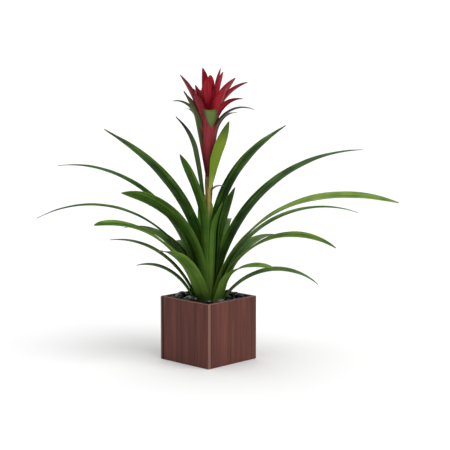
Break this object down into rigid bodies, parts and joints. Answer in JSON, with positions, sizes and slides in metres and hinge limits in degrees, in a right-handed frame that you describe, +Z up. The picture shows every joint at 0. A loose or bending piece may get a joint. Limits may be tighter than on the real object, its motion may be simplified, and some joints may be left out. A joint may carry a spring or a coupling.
{
  "type": "potted bromeliad",
  "caption": "Flowering bromeliad with arching strap leaves and a tall red flower head, planted in a square wooden pot dressed with black pebbles.",
  "frame": {"origin": "centre of the pot's underside, on the floor", "axes": "+Z up along the flower stalk; the pot's walls face along X and Y"},
  "size_m": [0.5497, 0.5777, 0.5434],
  "materials": {
    "wood": "satin",
    "liner": "satin",
    "soil": "matte",
    "pebbles": "satin",
    "stem": "satin",
    "leaf": "satin",
    "bract": "satin",
    "bloom": "satin"
  },
  "bodies": {
    "root": {"board_front": "wood", "board_right": "wood", "board_back": "wood", "board_left": "wood", "bottom_board": "wood", "liner": "liner", "soil": "soil", "pebble_dressing": "pebbles", "stem": "stem", "leaf_01": "leaf", "leaf_02": "leaf", "leaf_03": "leaf", "leaf_04": "leaf", "leaf_05": "leaf", "leaf_06": "leaf", "leaf_07": "leaf", "leaf_08": "leaf", "leaf_09": "leaf", "leaf_10": "leaf", "leaf_11": "leaf", "leaf_12": "leaf", "leaf_13": "leaf", "leaf_14": "leaf", "leaf_15": "leaf", "leaf_16": "leaf", "leaf_17": "leaf", "leaf_18": "leaf", "leaf_19": "leaf", "leaf_20": "leaf", "leaf_21": "leaf", "leaf_22": "leaf", "leaf_23": "leaf", "leaf_24": "leaf", "leaf_25": "leaf", "stalk_bract_1": "bract", "stalk_bract_2": "bract", "stalk_bract_3": "bract", "stalk_bract_4": "bract", "bloom": "bloom"}
  },
  "joints": []
}
